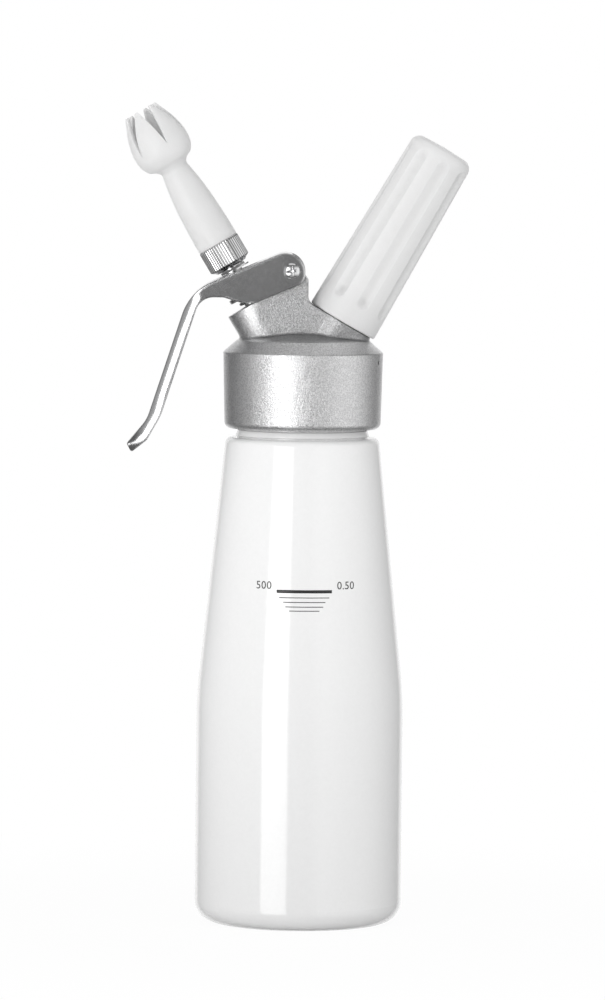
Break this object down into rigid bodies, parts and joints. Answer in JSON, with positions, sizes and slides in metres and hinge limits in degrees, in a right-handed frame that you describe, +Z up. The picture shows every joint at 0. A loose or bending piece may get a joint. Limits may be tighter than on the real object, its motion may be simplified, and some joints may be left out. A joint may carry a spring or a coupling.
{
  "type": "whipped cream dispenser",
  "caption": "Pressurised cream bottle with a screw-on cast head, hand lever, tilted tulip nozzle on a knurled ring and a fluted gas charger holder.",
  "frame": {"origin": "centre of the bottle's flat base, on the bottle axis", "axes": "+Z up along the bottle axis; -X towards the nozzle and the lever's handle; +X towards the gas charger holder; -Y is the front seen with the nozzle on the left"},
  "size_m": [0.1295, 0.078, 0.3089],
  "materials": {
    "enamel": "gloss white enamel on drawn metal",
    "blasted_aluminium": "fine bead-blasted casting, satin",
    "polished_lever": "polished cast lever",
    "chrome": "bright plated",
    "steel": "turned stainless steel",
    "brass": "turned brass",
    "rubber": "food grade elastomer",
    "white_plastic": "satin white moulding"
  },
  "bodies": {
    "bottle": {"bottle": "enamel"},
    "gasket": {"head_gasket": "rubber"},
    "head": {"head_casting": "blasted_aluminium", "pivot_pin": "steel", "pivot_screws": "chrome", "stem_guide_bush": "brass", "piercing_pin": "steel", "charger_seal": "rubber", "gas_valve_seat": "brass", "gas_check_valve": "rubber", "return_spring": "steel"},
    "lever": {"lever": "polished_lever"},
    "valve": {"valve_stem": "steel", "valve_seal": "rubber", "stem_o_rings": "rubber", "spring_cap": "steel", "stem_washer": "chrome", "nozzle_adapter": "chrome"},
    "nozzle_seal": {"nozzle_seal": "rubber"},
    "nozzle": {"nozzle_ring": "chrome", "tulip_nozzle": "white_plastic"},
    "charger": {"gas_charger": "steel", "charger_cap": "steel"},
    "holder": {"charger_holder": "white_plastic", "holder_thread_insert": "brass"}
  },
  "joints": [
    {"name": "head_lift", "type": "slide", "parent": "bottle", "child": "gasket", "axis": [0, 0, 1], "range_m": [0, 0.024]},
    {"name": "head_turn", "type": "hinge", "parent": "gasket", "child": "head", "pos_m": [0, 0, 0.2095], "axis": [0, 0, 1], "range_deg": [0, 2160]},
    {"name": "lever_squeeze", "type": "hinge", "parent": "head", "child": "lever", "pos_m": [-0.00464, 0, 0.24623], "axis": [0, -1, 0], "range_deg": [0, 10], "stiffness_Nm_per_rad": 1, "springref_deg": -14.32},
    {"name": "valve_stroke", "type": "slide", "parent": "head", "child": "valve", "axis": [0.515, 0, -0.8572], "range_m": [0, 0.00335], "deforming": ["return_spring"]},
    {"name": "nozzle_lift", "type": "slide", "parent": "valve", "child": "nozzle_seal", "axis": [-0.515, 0, 0.8572], "range_m": [0, 0.0075]},
    {"name": "nozzle_turn", "type": "hinge", "parent": "nozzle_seal", "child": "nozzle", "pos_m": [-0.01864, 0, 0.23303], "axis": [-0.515, 0, 0.8572], "range_deg": [0, 1800]},
    {"name": "holder_lift", "type": "slide", "parent": "head", "child": "charger", "axis": [0.5, 0, 0.866], "range_m": [0, 0.012]},
    {"name": "holder_turn", "type": "hinge", "parent": "charger", "child": "holder", "pos_m": [0.01465, 0, 0.22737], "axis": [0.5, 0, 0.866], "range_deg": [0, 2160]}
  ],
  "couplings": [
    {"joint": "head_lift", "follows": "head_turn", "m_per_rad": 0.00063662},
    {"joint": "valve_stroke", "follows": "lever_squeeze", "m_per_rad": 0.01904},
    {"joint": "nozzle_lift", "follows": "nozzle_turn", "m_per_rad": 0.00023873},
    {"joint": "holder_lift", "follows": "holder_turn", "m_per_rad": 0.00031831}
  ]
}
